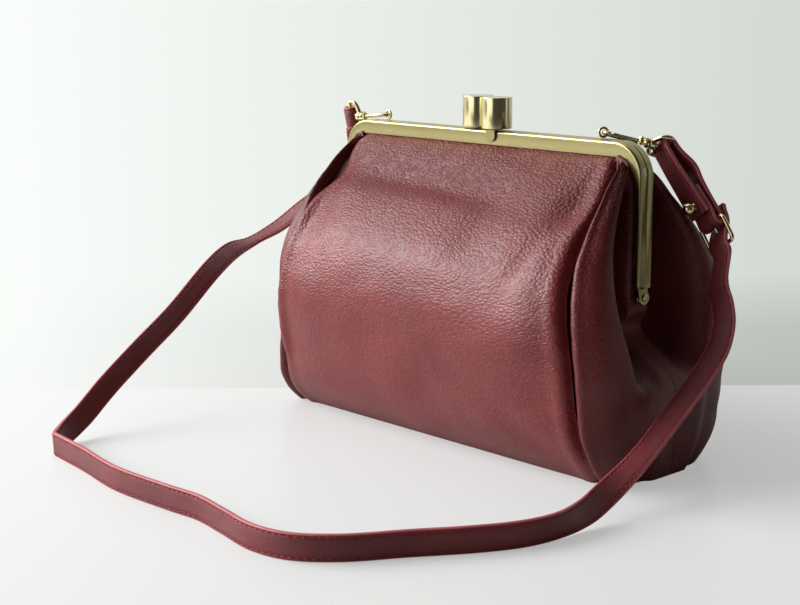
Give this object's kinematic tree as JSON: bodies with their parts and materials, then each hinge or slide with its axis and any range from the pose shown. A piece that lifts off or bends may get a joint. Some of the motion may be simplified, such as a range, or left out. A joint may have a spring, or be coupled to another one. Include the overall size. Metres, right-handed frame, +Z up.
{
  "type": "frame handbag",
  "caption": "Soft leather handbag with a brass frame, twist-past knob clasp, gusseted sides and a detachable shoulder strap lying in a loop.",
  "frame": {"origin": "middle of the base's underside, midway between the frame's ends and between front and back", "axes": "+X along the frame to the right end, -Y out of the front panel, +Z up"},
  "size_m": [0.3228, 0.2596, 0.1672],
  "materials": {
    "brass": "brushed, aged gilt",
    "leather": "soft pebbled grain, satin",
    "lining": "plain weave",
    "board": "grey fibre board",
    "cord": "twisted filler cord"
  },
  "bodies": {
    "bag": {"back_frame": "brass", "back_knob": "brass", "back_knob_tongue": "brass", "hinge_rivet_left": "brass", "hinge_rivet_right": "brass", "left_strap_eyelet": "brass", "right_strap_eyelet": "brass", "left_hook": "brass", "right_hook": "brass", "left_hook_gate_pin": "brass", "right_hook_gate_pin": "brass", "buckle_frame": "brass", "tab_ball_stud": "brass", "front_panel": "leather", "front_panel_upper": "leather", "back_panel": "leather", "base_panel": "leather", "left_gusset": "leather", "right_gusset": "leather", "left_gusset_front_flap": "leather", "right_gusset_front_flap": "leather", "left_gusset_back_flap": "leather", "right_gusset_back_flap": "leather", "shoulder_strap": "leather", "strap_tab": "leather", "front_lining": "lining", "back_lining": "lining", "left_gusset_lining": "lining", "right_gusset_lining": "lining", "base_board": "board", "back_channel_cord": "cord"},
    "front_half": {"front_frame": "brass", "front_knob": "brass", "front_knob_tongue": "brass", "front_channel_cord": "cord"},
    "left_gate": {"left_hook_gate": "brass"},
    "right_gate": {"right_hook_gate": "brass"},
    "left_eye": {"left_swivel_eye": "brass"},
    "right_eye": {"right_swivel_eye": "brass"},
    "prong": {"buckle_prong": "brass"}
  },
  "joints": [
    {"name": "frame_opening", "type": "hinge", "parent": "bag", "child": "front_half", "pos_m": [0, 0, 0.0806], "axis": [1, 0, 0], "range_deg": [0, 60], "deforming": ["front_panel_upper", "left_gusset_front_flap", "right_gusset_front_flap", "front_lining"]},
    {"name": "left_gate_pivot", "type": "hinge", "parent": "bag", "child": "left_gate", "pos_m": [-0.09137, 0.00039, 0.15214], "axis": [-0.1005, 0, 0.9949], "range_deg": [0, 20], "stiffness_Nm_per_rad": 0.001, "springref_deg": -11.46},
    {"name": "right_gate_pivot", "type": "hinge", "parent": "bag", "child": "right_gate", "pos_m": [0.08362, 0.01559, 0.14972], "axis": [0, -0.2831, -0.9591], "range_deg": [0, 20], "stiffness_Nm_per_rad": 0.001, "springref_deg": -11.46},
    {"name": "left_eye_swivel", "type": "hinge", "parent": "bag", "child": "left_eye", "pos_m": [-0.073, 0.0011, 0.154], "axis": [-0.9937, 0.0502, -0.1004], "range_deg": [-2, 2]},
    {"name": "right_eye_swivel", "type": "hinge", "parent": "bag", "child": "right_eye", "pos_m": [0.073, 0.0011, 0.154], "axis": [0.5003, 0.8304, -0.2451], "range_deg": [-2, 2]},
    {"name": "prong_pivot", "type": "hinge", "parent": "bag", "child": "prong", "pos_m": [0.1132, 0.03056, 0.11337], "axis": [0.8022, -0.0597, 0.5941], "range_deg": [0, 20]}
  ]
}
